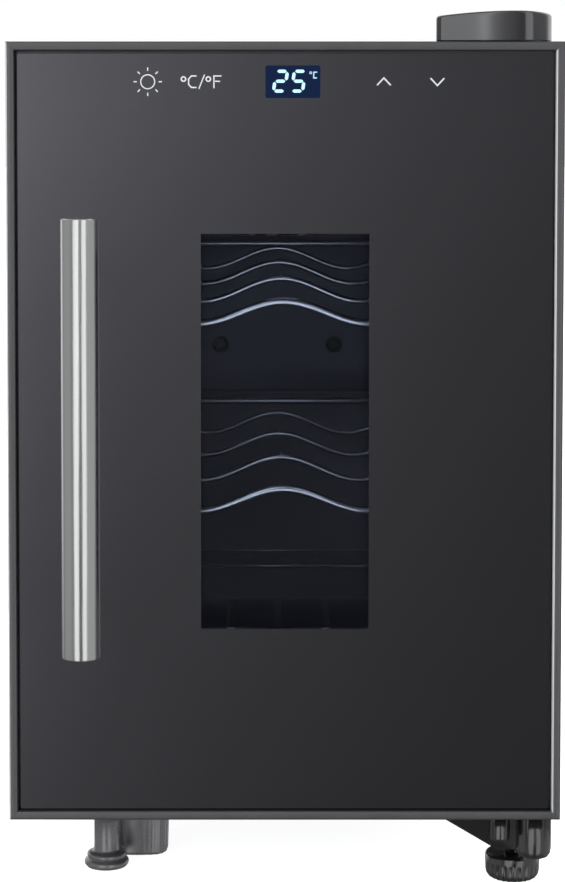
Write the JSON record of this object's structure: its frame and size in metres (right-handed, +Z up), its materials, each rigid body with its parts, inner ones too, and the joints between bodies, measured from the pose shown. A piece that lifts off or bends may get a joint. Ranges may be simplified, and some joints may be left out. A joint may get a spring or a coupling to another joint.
{
  "type": "wine cooler",
  "caption": "Countertop thermoelectric wine cooler with a hinged glass door, bar handle, window, wavy wire shelves, touch display, fans and levelling feet.",
  "frame": {"origin": "centre of the footprint on the surface the feet stand on", "axes": "+Z up, +Y from the door to the back, +X to the hinge side, which is on the right seen from the front"},
  "size_m": [0.252, 0.5346, 0.4084],
  "materials": {
    "outer_wrap": "satin",
    "base_pan": "matte",
    "rear_panel": "matte",
    "front_bezel": "satin",
    "inner_liner": "satin",
    "foam_insulation": "matte",
    "cold_air_cover": "satin",
    "cover_screw_left": "satin",
    "cover_screw_right": "satin",
    "cold_fan_frame": "satin",
    "cold_sink": "satin",
    "peltier_module": "matte",
    "hot_sink": "satin",
    "hot_fan_frame": "satin",
    "fan_guard": "satin",
    "power_inlet": "matte",
    "power_supply": "matte",
    "interior_light": "satin",
    "temperature_probe": "satin",
    "rear_foot_left": "satin",
    "rear_foot_right": "satin",
    "front_fixed_foot": "satin",
    "left_foot_plate": "satin",
    "bottom_hinge_bracket": "gloss",
    "bottom_hinge_pin": "satin",
    "top_hinge_plate": "satin",
    "top_hinge_pin": "satin",
    "top_hinge_screw_front": "satin",
    "top_hinge_screw_rear": "satin",
    "top_hinge_cap": "gloss",
    "door_frame": "satin",
    "front_glass": "gloss",
    "door_core": "matte",
    "display_module": "gloss",
    "window_spacer": "satin",
    "inner_glass": "gloss",
    "door_inner_panel": "satin",
    "door_gasket": "matte",
    "handle_bar": "satin",
    "handle_post_upper": "satin",
    "handle_post_lower": "satin",
    "handle_screw_upper": "satin",
    "handle_screw_lower": "satin",
    "top_hinge_bush": "satin",
    "bottom_hinge_bush": "satin",
    "upper_shelf_frame": "polished",
    "upper_shelf_wave_1": "polished",
    "upper_shelf_wave_2": "polished",
    "upper_shelf_wave_3": "polished",
    "upper_shelf_wave_4": "polished",
    "lower_shelf_frame": "polished",
    "lower_shelf_wave_1": "polished",
    "lower_shelf_wave_2": "polished",
    "lower_shelf_wave_3": "polished",
    "lower_shelf_wave_4": "polished",
    "cold_fan_rotor": "satin",
    "hot_fan_rotor": "satin",
    "levelling_foot_left": "satin",
    "levelling_foot_right": "satin"
  },
  "bodies": {
    "cabinet": {"outer_wrap": "outer_wrap", "base_pan": "base_pan", "rear_panel": "rear_panel", "front_bezel": "front_bezel", "inner_liner": "inner_liner", "foam_insulation": "foam_insulation", "cold_air_cover": "cold_air_cover", "cover_screw_left": "cover_screw_left", "cover_screw_right": "cover_screw_right", "cold_fan_frame": "cold_fan_frame", "cold_sink": "cold_sink", "peltier_module": "peltier_module", "hot_sink": "hot_sink", "hot_fan_frame": "hot_fan_frame", "fan_guard": "fan_guard", "power_inlet": "power_inlet", "power_supply": "power_supply", "interior_light": "interior_light", "temperature_probe": "temperature_probe", "rear_foot_left": "rear_foot_left", "rear_foot_right": "rear_foot_right", "front_fixed_foot": "front_fixed_foot", "left_foot_plate": "left_foot_plate", "bottom_hinge_bracket": "bottom_hinge_bracket", "bottom_hinge_pin": "bottom_hinge_pin", "top_hinge_plate": "top_hinge_plate", "top_hinge_pin": "top_hinge_pin", "top_hinge_screw_front": "top_hinge_screw_front", "top_hinge_screw_rear": "top_hinge_screw_rear", "top_hinge_cap": "top_hinge_cap"},
    "door": {"door_frame": "door_frame", "front_glass": "front_glass", "door_core": "door_core", "display_module": "display_module", "window_spacer": "window_spacer", "inner_glass": "inner_glass", "door_inner_panel": "door_inner_panel", "door_gasket": "door_gasket", "handle_bar": "handle_bar", "handle_post_upper": "handle_post_upper", "handle_post_lower": "handle_post_lower", "handle_screw_upper": "handle_screw_upper", "handle_screw_lower": "handle_screw_lower", "top_hinge_bush": "top_hinge_bush", "bottom_hinge_bush": "bottom_hinge_bush"},
    "upper_shelf": {"upper_shelf_frame": "upper_shelf_frame", "upper_shelf_wave_1": "upper_shelf_wave_1", "upper_shelf_wave_2": "upper_shelf_wave_2", "upper_shelf_wave_3": "upper_shelf_wave_3", "upper_shelf_wave_4": "upper_shelf_wave_4"},
    "lower_shelf": {"lower_shelf_frame": "lower_shelf_frame", "lower_shelf_wave_1": "lower_shelf_wave_1", "lower_shelf_wave_2": "lower_shelf_wave_2", "lower_shelf_wave_3": "lower_shelf_wave_3", "lower_shelf_wave_4": "lower_shelf_wave_4"},
    "cold_fan": {"cold_fan_rotor": "cold_fan_rotor"},
    "hot_fan": {"hot_fan_rotor": "hot_fan_rotor"},
    "left_foot": {"levelling_foot_left": "levelling_foot_left"},
    "right_foot": {"levelling_foot_right": "levelling_foot_right"}
  },
  "joints": [
    {"name": "door_swing", "type": "hinge", "parent": "cabinet", "child": "door", "pos_m": [0.114, -0.20775, 0.2172], "axis": [0, 0, 1], "range_deg": [0, 120]},
    {"name": "upper_shelf_slide", "type": "slide", "parent": "cabinet", "child": "upper_shelf", "axis": [0, -0.9995, -0.033], "range_m": [0, 0.014]},
    {"name": "lower_shelf_slide", "type": "slide", "parent": "cabinet", "child": "lower_shelf", "axis": [0, -1, -0.006], "range_m": [0, 0.014]},
    {"name": "cold_fan_spin", "type": "hinge", "parent": "cabinet", "child": "cold_fan", "pos_m": [0, 0.12725, 0.311], "axis": [0, 1, 0], "continuous": true},
    {"name": "hot_fan_spin", "type": "hinge", "parent": "cabinet", "child": "hot_fan", "pos_m": [0, 0.23575, 0.299], "axis": [0, 1, 0], "continuous": true},
    {"name": "left_foot_adjust", "type": "slide", "parent": "cabinet", "child": "left_foot", "axis": [0, 0, -1], "range_m": [0, 0.008]},
    {"name": "right_foot_adjust", "type": "slide", "parent": "cabinet", "child": "right_foot", "axis": [0, 0, -1], "range_m": [0, 0.008]}
  ]
}
